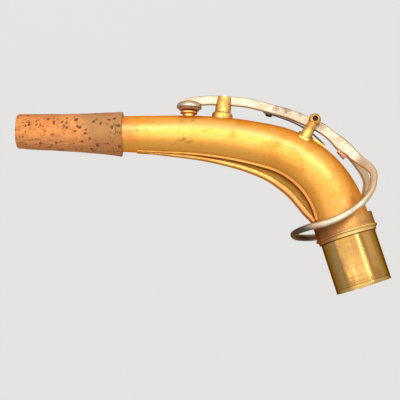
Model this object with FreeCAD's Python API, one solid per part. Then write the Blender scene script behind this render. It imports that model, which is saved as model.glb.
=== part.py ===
import FreeCAD, Part
import math
import os

Vector = FreeCAD.Vector

# The neck (crook) of an alto saxophone with its octave key, in millimetres.
# The tenon's axis is Z, the origin is the centre of the top of its bearing wall,
# and the neck bends from the collar up and over towards -X, in the plane Y = 0.
# A station is a distance along the neck's centre line from the origin to the mouth,
# and a rise is a height above the tube's skin at that station.

# Tenon and collar
tenon_radius = 12.25
tenon_length = 22.0
tenon_wall = 0.95
tenon_edge_break = 0.3
seat_relief = 0.3
spigot_step = 0.25
collar_top_radius = 13.25
collar_height = 8.2
collar_edge_break = 0.5
lip_radius = 12.95
lip_height = 1.6
bead_radius = 13.85
bead_height = 1.3
socket_depth = 4.4

# Neck tube
throat_length = 12.8
tight_bend_radius = 41.5
tight_bend_angle = 58.3
gentle_bend_radius = 180.0
gentle_bend_angle = 13.2
mouth_straight = 71.2
skin_radius_at_seat = 11.95
skin_radius_at_mouth = 6.4
neck_wall = 0.75
degrees_per_section = 6.0

# Cork sleeve, thinner at the mouth and swelling towards its back end
cork_length = 46.6
cork_overhang = 0.5
cork_mouth_thickness = 1.4
cork_middle_thickness = 1.25
cork_back_thickness = 1.85
cork_corner = 0.5

# Under brace, a rail on a web with a foot that follows the tube
brace_start = 11.2
brace_cork_gap = 6.6
brace_depth = 5.4
brace_foot_width = 8.6
brace_foot_thickness = 0.7
brace_web_width = 4.4
brace_rail_width = 6.0
brace_rail_depth = 1.7
brace_rail_round_share = 0.4
brace_tip_share = 0.42
brace_peak_share = 0.27
brace_toe_share = 0.2
brace_tail_share = 0.03
brace_samples = 13

# Octave pip: a vent tube with two flanges
pip_station = 92.7
pip_height = 2.35
pip_top_radius = 3.75
pip_top_thickness = 1.35
pip_seat_radius = 2.0
pip_seat_height = 0.3
pip_base_radius = 2.75
pip_tube_radius = 1.75
pip_bore_radius = 0.95
pip_reach_inside = 3.0
pip_edge_break = 0.35

# Pad and pad cup, on the pip's axis
pad_clearance = 0.1
pad_radius = 4.8
pad_skin_thickness = 0.4
pad_felt_thickness = 1.7
pad_card_thickness = 0.5
pad_cement_thickness = 0.3
pad_round = 0.8
pad_side_gap = 0.1
cup_wall = 0.65
cup_depth = 1.8
cup_crown = 1.5
cup_shoulder = 0.5
cup_corner = 2.0

# Hinge of the octave key
hinge_station = 44.4
hinge_rise = 7.5
rod_radius = 1.0
rod_head_radius = 1.25
rod_head_length = 1.2
rod_head_recess = 0.7
rod_slot_width = 0.4
rod_slot_depth = 0.5
hinge_tube_radius = 2.2
running_gap = 0.05
end_play = 0.06

# Posts and their saddle
post_spread = 5.0
post_ball_radius = 2.7
post_top_radius = 1.95
post_base_radius = 2.55
post_outer_flat = 2.35
post_inner_flat = 1.9
saddle_thickness = 0.9
saddle_front = 3.4
saddle_back = 3.4
saddle_half_width = 7.6
saddle_tongue = 9.4
saddle_tongue_width = 4.6
saddle_corner = 2.2

# Arms of the octave key, straps set on edge
arm_height = 4.2
arm_thickness = 2.3
arm_corner_share = 0.2
arm_parting = 0.3
arm_sections = 18
front_arm_rise = 7.9
front_station_shares = (0.0, 0.13, 0.30, 0.50, 0.68, 0.82, 0.90, 0.96, 1.05)
front_rise_shares = (0.78, 0.83, 0.89, 1.0, 0.98, 0.94, 0.895, 0.915, 0.875)
front_height_shares = (1.05, 1.05, 1.0, 1.0, 1.0, 1.0, 0.95, 0.63, 0.34)
front_thickness_shares = (1.0, 1.0, 1.0, 1.0, 1.0, 1.0, 1.0, 0.95, 0.75)
rear_arm_rise = 6.5
rear_station_shares = (0.0, 0.2, 0.45, 0.72, 1.0)
rear_rise_shares = (0.98, 1.03, 0.985, 0.95, 1.005)
rear_height_shares = (1.05, 1.12, 1.12, 1.4, 1.26)
rear_thickness_shares = (1.0, 1.0, 1.1, 1.5, 1.95)

# Key ring round the collar, forked from the rear arm
ring_root_station = 29.0
ring_root_spread = 1.05
ring_back_reach = 17.6
ring_front_reach = 22.5
ring_half_width = 16.8
ring_elbow_height = 21.9
ring_front_height = 8.7
ring_root_height = 4.8
ring_root_thickness = 2.3
ring_back_height = 3.5
ring_front_thickness = 2.2
ring_lean = 3.8
ring_twist = 2.5
ring_sections = 22
ring_settle_share = 0.25
ring_oval_share = 1.05
ring_shares = ((0.98, 0.37, 0.35), (1.0, 0.56, 0.0), (0.74, 0.81, -0.54), (0.25, 0.975, -0.85),
               (-0.30, 0.995, -1.0), (-0.80, 0.66, -1.0))

# Bumper under the rear arm
bumper_station = 30.9
bumper_length = 4.4
bumper_width = 3.6
bumper_thickness = 2.1
bumper_lift = 2.4

# Guide post that steadies the front arm
guide_station = 78.6
guide_height = 9.35
guide_top_radius = 3.1
guide_body_radius = 3.5
guide_shoulder_height = 6.4
guide_base_radius = 4.6
guide_base_height = 2.1
guide_swell_share = 0.8
guide_side_gap = 0.25
guide_floor_gap = 0.5

# Flat spring and its screw
spring_width = 2.2
spring_thickness = 0.35
spring_root_station = 62.0
spring_tip_station = 37.0
spring_touch_gap = 0.05
spring_screw_station = 59.6
spring_screw_radius = 0.8
spring_head_radius = 1.5
spring_head_height = 0.9
spring_screw_depth = 1.8
spring_slot_width = 0.4
spring_slot_depth = 0.45
spring_hole_gap = 0.06
spring_station_shares = (0.0, 0.16, 0.38, 0.62, 0.80, 0.904, 1.0)
spring_rise_shares = (0.0, 0.27, 0.57, 0.785, 0.924, 1.0, 1.065)

# Shared clearances and the overrun of every cut
solder_gap = 0.02
cork_glue_gap = 0.03
overrun = 2.0

tight_turn = math.radians(tight_bend_angle)
gentle_turn = math.radians(gentle_bend_angle)
tight_start = throat_length
gentle_start = tight_start + tight_bend_radius * tight_turn
mouth_start = gentle_start + gentle_bend_radius * gentle_turn
neck_length = mouth_start + mouth_straight
cork_back = neck_length + cork_overhang - cork_length
brace_end = cork_back - brace_cork_gap
spigot_radius = tenon_radius - spigot_step
front_start = hinge_station + arm_parting
rear_start = hinge_station - arm_parting
front_shares = (front_station_shares, front_rise_shares, front_height_shares, front_thickness_shares)
rear_shares = (rear_station_shares, rear_rise_shares, rear_height_shares, rear_thickness_shares)
Y_AXIS = Vector(0, 1, 0)
Z_AXIS = Vector(0, 0, 1)
ORIGIN = Vector(0, 0, 0)
corner_bulge_share = 1 - math.sqrt(0.5)


# Centre line of the neck

def outward(turn):
    return Vector(math.cos(turn), 0, math.sin(turn))


def along(turn):
    return Vector(-math.sin(turn), 0, math.cos(turn))


def swing(point, turn, radius, run):
    centre = point - outward(turn) * radius
    end_turn = turn + run / radius
    return centre + outward(end_turn) * radius, end_turn


def centre_at(station):
    if station <= tight_start:
        return Vector(0, 0, station), 0.0
    run = min(station, gentle_start) - tight_start
    point, turn = swing(Vector(0, 0, tight_start), 0.0, tight_bend_radius, run)
    if station > gentle_start:
        run = min(station, mouth_start) - gentle_start
        point, turn = swing(point, turn, gentle_bend_radius, run)
    if station > mouth_start:
        point = point + along(turn) * (station - mouth_start)
    return point, turn


def skin_radius(station):
    taper = skin_radius_at_mouth - skin_radius_at_seat
    return skin_radius_at_seat + taper * station / neck_length


def over_skin(station, rise, side=0.0):
    point, turn = centre_at(station)
    return point + outward(turn) * (skin_radius(station) + rise) + Y_AXIS * side


def under_skin(station, depth):
    point, turn = centre_at(station)
    return point - outward(turn) * (skin_radius(station) + depth)


def seat_at(station, rise):
    turn = centre_at(station)[1]
    rotation = FreeCAD.Rotation(Y_AXIS, 90.0 - math.degrees(turn))
    return FreeCAD.Placement(over_skin(station, rise), rotation)


def moved(shape, placement):
    copy = shape.copy()
    copy.Placement = placement.multiply(copy.Placement)
    return copy


# Shared forms

def spline(points):
    curve = Part.BSplineCurve()
    curve.interpolate(points)
    return curve


def turned(profile):
    face = Part.Face(Part.makePolygon(profile + profile[:1]))
    return face.revolve(ORIGIN, Z_AXIS, 360)


def turned_wire(edges):
    face = Part.Face(Part.Wire(edges))
    return face.revolve(ORIGIN, Z_AXIS, 360)


def at(radius, height):
    return Vector(radius, 0, height)


def line(start, end):
    return Part.LineSegment(start, end).toShape()


def arc(start, middle, end):
    return Part.Arc(start, middle, end).toShape()


def path_circle(station, radius):
    point, turn = centre_at(station)
    ring = Part.Wire(Part.Circle(ORIGIN, Z_AXIS, radius).toShape())
    rotation = FreeCAD.Rotation(Y_AXIS, -math.degrees(turn))
    return moved(ring, FreeCAD.Placement(point, rotation))


def span_solid(first, last, offset, bend_turn):
    if bend_turn == 0:
        point, turn = centre_at(last)
        start = centre_at(first)[0]
        low = skin_radius(first) + offset
        high = skin_radius(last) + offset
        return Part.makeCone(low, high, last - first, start, along(turn))
    count = math.ceil(math.degrees(bend_turn) / degrees_per_section)
    step = (last - first) / count
    circles = []
    for index in range(count + 1):
        station = first + step * index
        circles.append(path_circle(station, skin_radius(station) + offset))
    return Part.makeLoft(circles, True, True)


def neck_solid(offset, first, last):
    spans = ((first, tight_start, 0), (tight_start, gentle_start, tight_turn),
             (gentle_start, mouth_start, gentle_turn), (mouth_start, last, 0))
    solids = []
    for start, end, turn in spans:
        start = max(start, first)
        end = min(end, last)
        if end > start:
            solids.append(span_solid(start, end, offset, turn))
    whole = solids[0]
    for solid in solids[1:]:
        whole = whole.fuse(solid)
    return whole


def side_prism(edges, width):
    face = Part.Face(Part.Wire(edges))
    face.translate(Y_AXIS * (-width / 2))
    return face.extrude(Y_AXIS * width)


def rounded_section(point, turn, height, thickness, corner):
    half_height = height / 2
    half_thick = thickness / 2
    flat_height = half_height - corner
    flat_thick = half_thick - corner
    bulge = corner * corner_bulge_share
    arcs = []
    for up, side, start_on_side in ((1, 1, False), (-1, 1, True), (-1, -1, False), (1, -1, True)):
        on_height = Vector(up * half_height, side * flat_thick, 0)
        on_side = Vector(up * flat_height, side * half_thick, 0)
        middle = Vector(up * (half_height - bulge), side * (half_thick - bulge), 0)
        arcs.append((on_side, middle, on_height) if start_on_side else (on_height, middle, on_side))
    edges = []
    for index, (start, middle, end) in enumerate(arcs):
        edges += [arc(start, middle, end), line(end, arcs[(index + 1) % len(arcs)][0])]
    rotation = FreeCAD.Rotation(outward(turn), Y_AXIS, along(turn) * -1, "XYZ")
    return moved(Part.Wire(edges), FreeCAD.Placement(point, rotation))


def share_curves(shares):
    curves = []
    for values in shares[1:]:
        curve = Part.BSplineCurve()
        points = [Vector(station, value, 0) for station, value in zip(shares[0], values)]
        curve.interpolate(Points=points, Parameters=list(shares[0]))
        curves.append(curve)
    return curves


def strap(first, last, rise, shares):
    curves = share_curves(shares)
    sections = []
    for index in range(arm_sections + 1):
        share = shares[0][-1] * index / arm_sections
        rise_share, height_share, thickness_share = [curve.value(share).y for curve in curves]
        station = first + (last - first) * share
        thickness = arm_thickness * thickness_share
        height = arm_height * height_share
        corner = arm_corner_share * min(height, thickness)
        sections.append(rounded_section(over_skin(station, rise * rise_share), centre_at(station)[1],
                                        height, thickness, corner))
    return Part.makeLoft(sections, True, True)


def hinge_cylinder(radius, start, end):
    centre = over_skin(hinge_station, hinge_rise, start)
    return Part.makeCylinder(radius, end - start, centre, Y_AXIS)


# Tenon, collar and neck tube

def tenon_tube():
    inner = tenon_radius - tenon_wall
    cut = tenon_edge_break
    return turned([at(inner, -tenon_length + cut), at(inner + cut, -tenon_length),
                   at(tenon_radius - cut, -tenon_length), at(tenon_radius, -tenon_length + cut),
                   at(tenon_radius, 0), at(spigot_radius, 0),
                   at(spigot_radius, socket_depth), at(inner, socket_depth)])


def tenon_collar():
    cut = collar_edge_break
    lower_bore = spigot_radius + solder_gap
    upper_bore = skin_radius(socket_depth) + solder_gap
    top_bore = skin_radius(collar_height) + solder_gap
    bead_top = lip_height + bead_height
    bead_middle = lip_height + bead_height / 2
    outer_at_bead = bead_radius - bead_height / 2
    edges = [line(at(lower_bore, seat_relief), at(lip_radius, seat_relief)),
             line(at(lip_radius, seat_relief), at(lip_radius, lip_height)),
             line(at(lip_radius, lip_height), at(outer_at_bead, lip_height)),
             arc(at(outer_at_bead, lip_height), at(bead_radius, bead_middle), at(outer_at_bead, bead_top)),
             line(at(outer_at_bead, bead_top), at(collar_top_radius, collar_height - cut)),
             line(at(collar_top_radius, collar_height - cut), at(collar_top_radius - cut, collar_height)),
             line(at(collar_top_radius - cut, collar_height), at(top_bore, collar_height)),
             line(at(top_bore, collar_height), at(upper_bore, socket_depth)),
             line(at(upper_bore, socket_depth), at(lower_bore, socket_depth)),
             line(at(lower_bore, socket_depth), at(lower_bore, seat_relief))]
    return turned_wire(edges)


def neck_tube():
    outer = neck_solid(0, socket_depth, neck_length)
    bore = neck_solid(-neck_wall, socket_depth - overrun, neck_length + overrun)
    reach = pip_tube_radius + solder_gap
    vent = Part.makeCylinder(reach, pip_reach_inside + overrun * 2, Vector(0, 0, -pip_reach_inside))
    return outer.cut(bore).cut(moved(vent, seat_at(pip_station, 0)))


def neck_cork():
    mouth = cork_length
    middle = mouth / 2
    back_radius = skin_radius(cork_back)
    taper = (skin_radius_at_mouth - skin_radius_at_seat) / neck_length
    back_bore = back_radius + cork_glue_gap
    mouth_bore = back_bore + taper * mouth
    back_outer = back_radius + cork_back_thickness
    middle_outer = back_radius + taper * middle + cork_middle_thickness
    mouth_outer = back_radius + taper * mouth + cork_mouth_thickness
    nip = cork_corner
    softened = nip * corner_bulge_share
    edges = [line(at(back_bore, 0), at(back_outer, 0)),
             arc(at(back_outer, 0), at(middle_outer, middle), at(mouth_outer, mouth - nip)),
             arc(at(mouth_outer, mouth - nip), at(mouth_outer - softened, mouth - softened),
                 at(mouth_outer - nip, mouth)),
             line(at(mouth_outer - nip, mouth), at(mouth_bore, mouth)),
             line(at(mouth_bore, mouth), at(back_bore, 0))]
    point, turn = centre_at(cork_back)
    rotation = FreeCAD.Rotation(Y_AXIS, -math.degrees(turn))
    return moved(turned_wire(edges), FreeCAD.Placement(point, rotation))


# Under brace

def brace_shares():
    return [index / (brace_samples - 1) for index in range(brace_samples)]


def brace_stations():
    return [brace_start + (brace_end - brace_start) * share for share in brace_shares()]


def brace_depth_at(share):
    if share < brace_peak_share:
        short = (brace_peak_share - share) / brace_peak_share
        return brace_depth * math.sqrt(1 - (1 - brace_toe_share ** 2) * short ** 2)
    fall = (share - brace_peak_share) / (1 - brace_peak_share)
    return brace_depth * (1 - (1 - brace_tail_share) * fall)


def brace_prism(upper_depths, lower_depths, width):
    upper = [under_skin(station, depth) for station, depth in zip(brace_stations(), upper_depths)]
    lower = [under_skin(station, depth) for station, depth in zip(brace_stations(), lower_depths)]
    edges = [spline(lower).toShape(), line(lower[-1], upper[-1]),
             spline(upper[::-1]).toShape(), line(upper[0], lower[0])]
    return side_prism(edges, width)


def under_brace(skin):
    depths = [brace_depth_at(share) for share in brace_shares()]
    count = len(depths)
    web_bottoms = [depth - brace_rail_depth / 2 for depth in depths]
    web = brace_prism([-brace_rail_depth] * count, web_bottoms, brace_web_width)
    sections = []
    for station, depth, share in zip(brace_stations(), depths, brace_shares()):
        slim = 1 - (1 - brace_tip_share) * max(0.0, share - brace_peak_share) / (1 - brace_peak_share)
        thick = brace_rail_depth * slim
        middle = under_skin(station, depth - thick / 2)
        sections.append(rounded_section(middle, centre_at(station)[1], thick,
                                        brace_rail_width * slim, thick * brace_rail_round_share))
    rail = Part.makeLoft(sections, True, True)
    foot_band = neck_solid(brace_foot_thickness, brace_start, brace_end)
    reach = brace_foot_width / 2
    foot = foot_band.common(brace_prism([-reach] * count, [reach] * count, brace_foot_width))
    return web.fuse(rail).fuse(foot).cut(skin)


# Octave pip and guide post, turned pieces seated on the tube

def octave_pip(skin):
    lower = pip_height - pip_top_thickness - pip_seat_height
    upper = pip_height - pip_seat_height
    cut = pip_edge_break
    flanges = turned([at(pip_bore_radius, -overrun), at(pip_base_radius, -overrun),
                      at(pip_base_radius, lower), at(pip_top_radius, lower + cut),
                      at(pip_top_radius, upper - cut), at(pip_top_radius - cut, upper),
                      at(pip_seat_radius, upper), at(pip_seat_radius, pip_height),
                      at(pip_bore_radius, pip_height)])
    tube = turned([at(pip_bore_radius, -pip_reach_inside), at(pip_tube_radius, -pip_reach_inside),
                   at(pip_tube_radius, lower), at(pip_bore_radius, lower)])
    seat = seat_at(pip_station, 0)
    return moved(flanges, seat).cut(skin).fuse(moved(tube, seat))


def guide_post(skin):
    waist = guide_base_height
    bulge = guide_base_radius
    narrow = guide_body_radius
    swell = at(narrow + (bulge - narrow) * guide_swell_share, waist * guide_swell_share)
    edges = [line(at(0, -overrun), at(bulge, -overrun)),
             line(at(bulge, -overrun), at(bulge, waist / 2)),
             arc(at(bulge, waist / 2), swell, at(narrow, waist)),
             line(at(narrow, waist), at(narrow, guide_shoulder_height)),
             line(at(narrow, guide_shoulder_height), at(guide_top_radius, guide_height)),
             line(at(guide_top_radius, guide_height), at(0, guide_height)),
             line(at(0, guide_height), at(0, -overrun))]
    post = moved(turned_wire(edges), seat_at(guide_station, 0)).cut(skin)
    return post.cut(guide_slot())


def front_arm_bottom(station):
    share = (station - front_start) / (pip_station - front_start)
    rise_share, height_share = [curve.value(share).y for curve in share_curves(front_shares)[:2]]
    return front_arm_rise * rise_share - arm_height * height_share / 2


def guide_slot():
    width = arm_thickness + guide_side_gap * 2
    floor = front_arm_bottom(guide_station) - guide_floor_gap
    reach = guide_base_radius + overrun
    slot = Part.makeBox(reach * 2, width, guide_height - floor + overrun, Vector(-reach, -width / 2, floor))
    return moved(slot, seat_at(guide_station, 0))


# Saddle, posts and hinge rod

def saddle_outline():
    corner = saddle_corner
    bulge = corner * corner_bulge_share
    front = -saddle_front
    back = saddle_back
    wide = saddle_half_width
    tip = saddle_tongue
    tongue = saddle_tongue_width / 2
    half = [(front, 0), (front, wide - corner), (front + bulge, wide - bulge), (front + corner, wide),
            (back - corner, wide), (back - bulge, wide - bulge), (back, wide - corner),
            (back, tongue), (tip, tongue), (tip, 0)]
    edges = []
    for side in (1, -1):
        points = [Vector(x, y * side, 0) for x, y in half]
        edges += [line(points[0], points[1]), arc(points[1], points[2], points[3]),
                  line(points[3], points[4]), arc(points[4], points[5], points[6]),
                  line(points[6], points[7]), line(points[7], points[8]), line(points[8], points[9])]
    return Part.Wire(Part.__sortEdges__(edges))


def key_saddle(skin, saddle_band):
    depth = skin_radius(hinge_station) + overrun
    cutter = Part.Face(saddle_outline()).extrude(Z_AXIS * depth)
    cutter = moved(cutter, seat_at(hinge_station, overrun - depth))
    return saddle_band.common(cutter).cut(skin)


def post(side, saddle_band):
    drop = hinge_rise + skin_radius(hinge_station)
    body_top = -post_top_radius
    foot = -hinge_rise
    body = turned([at(0, -drop), at(post_base_radius, -drop), at(post_base_radius, foot),
                   at(post_top_radius, body_top), at(0, body_top)])
    ball = Part.makeSphere(post_ball_radius)
    size = post_ball_radius * 2
    block = Part.makeBox(size * 2, size, size * 2, Vector(-size, 0, -size))
    outer = block.translated(Y_AXIS * (post_outer_flat if side > 0 else -post_outer_flat - size))
    inner = block.translated(Y_AXIS * (post_inner_flat if side < 0 else -post_inner_flat - size))
    shape = body.fuse(ball).cut(outer).cut(inner)
    place = seat_at(hinge_station, hinge_rise)
    place.Base = place.Base + Y_AXIS * (side * post_spread)
    return moved(shape, place).cut(saddle_band)


def near_post(saddle_band):
    shape = post(-1, saddle_band)
    face = -post_spread - post_outer_flat
    shoulder = face + rod_head_recess + rod_head_length
    head_room = hinge_cylinder(rod_head_radius + running_gap, face - overrun, shoulder)
    through = hinge_cylinder(rod_radius + running_gap, face - overrun, 0)
    return shape.cut(head_room).cut(through)


def far_post(saddle_band):
    return post(1, saddle_band).cut(hinge_cylinder(rod_radius + solder_gap, 0, post_spread * 2))


def hinge_rod():
    face = -post_spread - post_outer_flat
    head_start = face + rod_head_recess
    shoulder = head_start + rod_head_length
    head = hinge_cylinder(rod_head_radius, head_start, shoulder)
    shank = hinge_cylinder(rod_radius, head_start, post_spread + post_outer_flat)
    slot = Part.makeBox(rod_head_radius * 4, rod_slot_depth + overrun, rod_slot_width,
                        Vector(-rod_head_radius * 2, head_start - overrun, -rod_slot_width / 2))
    return head.fuse(shank).cut(moved(slot, seat_at(hinge_station, hinge_rise)))


# Moving key

def hinge_tube():
    half = post_spread - post_inner_flat - end_play
    barrel = hinge_cylinder(hinge_tube_radius, -half, half)
    return barrel.cut(hinge_cylinder(rod_radius + running_gap, -half - overrun, half + overrun))


def cup_base():
    return pip_height + pad_clearance + pad_skin_thickness + pad_felt_thickness \
        + pad_card_thickness + pad_cement_thickness


def dome_edges(outer, shoulder, crown, corner):
    reach = outer - corner
    rise = crown - shoulder
    cap_radius = (reach ** 2 + rise ** 2 - corner ** 2) / (2 * (rise - corner))
    cap_centre = crown - cap_radius
    lean = math.atan2(shoulder - cap_centre, reach)
    high_lean = (lean + math.pi / 2) / 2
    corner_middle = at(reach + corner * math.cos(lean / 2), shoulder + corner * math.sin(lean / 2))
    meeting = at(cap_radius * math.cos(lean), cap_centre + cap_radius * math.sin(lean))
    cap_middle = at(cap_radius * math.cos(high_lean), cap_centre + cap_radius * math.sin(high_lean))
    return [arc(at(outer, shoulder), corner_middle, meeting), arc(meeting, cap_middle, at(0, crown))]


def cup_solid():
    outer = pad_radius + pad_side_gap + cup_wall
    rim = cup_base() - cup_depth
    shoulder = rim + cup_shoulder
    crown = cup_base() + cup_crown
    edges = [line(at(0, rim), at(outer, rim)), line(at(outer, rim), at(outer, shoulder))]
    edges += dome_edges(outer, shoulder, crown, cup_corner)
    edges += [line(at(0, crown), at(0, rim))]
    return moved(turned_wire(edges), seat_at(pip_station, 0))


def pad_cup():
    wide = pad_radius + pad_side_gap
    ceiling = cup_base()
    shelf = ceiling - pad_cement_thickness
    below = ceiling - cup_depth - overrun
    hollow = turned([at(0, below), at(wide, below), at(wide, shelf),
                     at(wide - pad_cement_thickness, ceiling), at(0, ceiling)])
    return cup_solid().cut(moved(hollow, seat_at(pip_station, 0)))


def pad_disc(radius, bottom, thickness):
    return moved(Part.makeCylinder(radius, thickness, Vector(0, 0, bottom)), seat_at(pip_station, 0))


def pad_skin():
    bottom = pip_height + pad_clearance
    top = cup_base() - pad_cement_thickness
    inner = pad_radius - pad_skin_thickness
    floor = bottom + pad_skin_thickness
    soft = pad_round * corner_bulge_share
    edges = [line(at(0, bottom), at(pad_radius - pad_round, bottom)),
             arc(at(pad_radius - pad_round, bottom), at(pad_radius - soft, bottom + soft),
                 at(pad_radius, bottom + pad_round)),
             line(at(pad_radius, bottom + pad_round), at(pad_radius, top)),
             line(at(pad_radius, top), at(inner, top)),
             line(at(inner, top), at(inner, floor)),
             line(at(inner, floor), at(0, floor)),
             line(at(0, floor), at(0, bottom))]
    return moved(turned_wire(edges), seat_at(pip_station, 0))


def pad_felt():
    bottom = pip_height + pad_clearance + pad_skin_thickness
    return pad_disc(pad_radius - pad_skin_thickness - solder_gap, bottom, pad_felt_thickness)


def pad_card():
    bottom = pip_height + pad_clearance + pad_skin_thickness + pad_felt_thickness
    return pad_disc(pad_radius - pad_skin_thickness - solder_gap, bottom, pad_card_thickness)


def pad_cement():
    radius = pad_radius + pad_side_gap - pad_cement_thickness - solder_gap
    return pad_disc(radius, cup_base() - pad_cement_thickness, pad_cement_thickness)


def front_arm():
    arm = strap(front_start, pip_station, front_arm_rise, front_shares)
    hole = Part.makeCylinder(spring_screw_radius, spring_screw_depth + overrun, Vector(0, 0, -overrun))
    hole = moved(hole, screw_seat())
    barrel = hinge_cylinder(hinge_tube_radius, -post_spread, post_spread)
    return arm.cut(cup_solid()).cut(barrel).cut(hole)


def rear_arm():
    arm = strap(rear_start, ring_root_station, rear_arm_rise, rear_shares)
    return arm.cut(hinge_cylinder(hinge_tube_radius, -post_spread, post_spread))


def ring_half_points(side):
    root = over_skin(ring_root_station, rear_arm_rise * rear_rise_shares[-1], side * ring_root_spread)
    points = [root]
    lean = math.tan(math.radians(ring_lean))
    twist = math.tan(math.radians(ring_twist))
    for reach_share, width_share, height_share in ring_shares:
        reach = ring_back_reach if reach_share > 0 else ring_front_reach
        width = side * ring_half_width * width_share
        height = ring_elbow_height + (ring_elbow_height - ring_front_height) * height_share
        points.append(Vector(reach * reach_share - width * twist, width, height - width * lean))
    return points


def ring_branch(side):
    near = ring_half_points(side)
    far = ring_half_points(-side)
    curve = spline(near + [Vector(-ring_front_reach, 0, ring_front_height)] + far[::-1])
    first = curve.FirstParameter
    middle = (first + curve.LastParameter) / 2
    focus = Vector(0, 0, ring_elbow_height)
    sections = []
    for index in range(ring_sections + 1):
        share = index / ring_sections
        place = first + (middle - first) * share
        heading = curve.tangent(place)[0]
        inward = focus - curve.value(place)
        inward = (inward - heading * inward.dot(heading)).normalize()
        settle = min(1.0, share / ring_settle_share)
        height = ring_root_height + (ring_back_height - ring_root_height) * settle
        height += (ring_front_thickness * ring_oval_share - height) * share
        thickness = ring_root_thickness + (ring_front_thickness - ring_root_thickness) * share
        oval = Part.Ellipse(ORIGIN, height / 2, thickness / 2).toShape()
        rotation = FreeCAD.Rotation(inward, heading.cross(inward), heading, "ZXY")
        sections.append(moved(Part.Wire(oval), FreeCAD.Placement(curve.value(place), rotation)))
    return Part.makeLoft(sections, True, True)


def key_ring(arm):
    return ring_branch(-1).fuse(ring_branch(1)).cut(arm)


def rear_bumper(arm):
    block = Part.makeBox(bumper_length, bumper_width, bumper_thickness * 2,
                         Vector(-bumper_length / 2, -bumper_width / 2, bumper_lift))
    return moved(block, seat_at(bumper_station, 0)).cut(arm)


def spring_points(lift):
    tip_rise = saddle_thickness + spring_touch_gap
    root_rise = front_arm_bottom(spring_screw_station) - spring_thickness - solder_gap
    points = []
    for station_share, rise_share in zip(spring_station_shares, spring_rise_shares):
        station = spring_tip_station + (spring_root_station - spring_tip_station) * station_share
        points.append(over_skin(station, tip_rise + (root_rise - tip_rise) * rise_share + lift))
    return points


def screw_seat():
    # Square to the spring's root, which slopes against the tube
    root = spring_points(0)
    heading = (root[-3] - root[-1]).normalize()
    rotation = FreeCAD.Rotation(heading, Y_AXIS, heading.cross(Y_AXIS), "XYZ")
    point = over_skin(spring_screw_station, front_arm_bottom(spring_screw_station))
    return FreeCAD.Placement(point, rotation)


def spring_strip():
    lower = spring_points(0)
    upper = spring_points(spring_thickness)
    edges = [spline(lower).toShape(), line(lower[-1], upper[-1]),
             spline(upper[::-1]).toShape(), line(upper[0], lower[0])]
    return side_prism(edges, spring_width)


def flat_spring():
    hole = Part.makeCylinder(spring_screw_radius + spring_hole_gap, overrun * 2, Vector(0, 0, -overrun))
    return spring_strip().cut(moved(hole, screw_seat()))


def spring_screw():
    head_top = -spring_thickness - solder_gap * 2
    head = Part.makeCylinder(spring_head_radius, spring_head_height,
                             Vector(0, 0, head_top - spring_head_height))
    shank = Part.makeCylinder(spring_screw_radius, spring_screw_depth - head_top, Vector(0, 0, head_top))
    slot = Part.makeBox(spring_head_radius * 4, spring_slot_width, spring_slot_depth + overrun,
                        Vector(-spring_head_radius * 2, -spring_slot_width / 2,
                               head_top - spring_head_height - overrun))
    return moved(head.fuse(shank).cut(slot), screw_seat())


def build():
    skin = neck_solid(0, socket_depth, neck_length)
    saddle_band = neck_solid(saddle_thickness, hinge_station - tight_bend_radius / 2,
                             hinge_station + tight_bend_radius / 2)
    arm = rear_arm()
    return {"tenon_tube": tenon_tube(), "tenon_collar": tenon_collar(), "neck_tube": neck_tube(),
            "neck_cork": neck_cork(), "under_brace": under_brace(skin), "octave_pip": octave_pip(skin),
            "guide_post": guide_post(skin), "key_saddle": key_saddle(skin, saddle_band),
            "near_post": near_post(saddle_band), "far_post": far_post(saddle_band),
            "hinge_rod": hinge_rod(), "hinge_tube": hinge_tube(), "front_arm": front_arm(),
            "pad_cup": pad_cup(), "pad_cement": pad_cement(), "pad_card": pad_card(),
            "pad_felt": pad_felt(), "pad_skin": pad_skin(), "rear_arm": arm, "key_ring": key_ring(arm),
            "rear_bumper": rear_bumper(arm), "flat_spring": flat_spring(),
            "spring_screw": spring_screw()}


os.makedirs("parts", exist_ok=True)
for name, shape in build().items():
    shape.exportStep("parts/" + name + ".step")
    facets = len(shape.tessellate(0.05)[1])
    print(name, "solids", len(shape.Solids), "valid", shape.isValid(),
          "volume", round(shape.Volume, 2), "facets", facets)
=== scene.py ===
import math
import bmesh
import bpy
from mathutils import Matrix, Vector, noise


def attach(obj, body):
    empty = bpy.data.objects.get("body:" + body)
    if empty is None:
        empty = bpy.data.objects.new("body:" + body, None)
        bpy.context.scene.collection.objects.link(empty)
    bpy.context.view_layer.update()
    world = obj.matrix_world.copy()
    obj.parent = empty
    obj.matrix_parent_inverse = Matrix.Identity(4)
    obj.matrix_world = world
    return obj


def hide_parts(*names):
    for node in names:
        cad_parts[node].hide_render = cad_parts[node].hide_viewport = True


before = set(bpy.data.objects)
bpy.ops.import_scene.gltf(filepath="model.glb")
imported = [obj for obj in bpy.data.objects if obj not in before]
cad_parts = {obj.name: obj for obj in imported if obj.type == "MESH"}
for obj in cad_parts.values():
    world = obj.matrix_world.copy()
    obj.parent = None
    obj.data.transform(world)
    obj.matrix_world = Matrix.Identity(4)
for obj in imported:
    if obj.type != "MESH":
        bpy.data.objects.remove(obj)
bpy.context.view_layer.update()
print("frame loaded:", len(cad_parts), "CAD nodes")

mm = 0.001  # pieces are modelled in millimetres and brought to metres at the end
weldDistance = 0.001  # points of a new piece closer than this are one, in millimetres
cadWeldDistance = 0.0005  # the same for a copy of a CAD mesh
smoothAngle = 32  # edges that turn further stay sharp, in degrees

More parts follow.
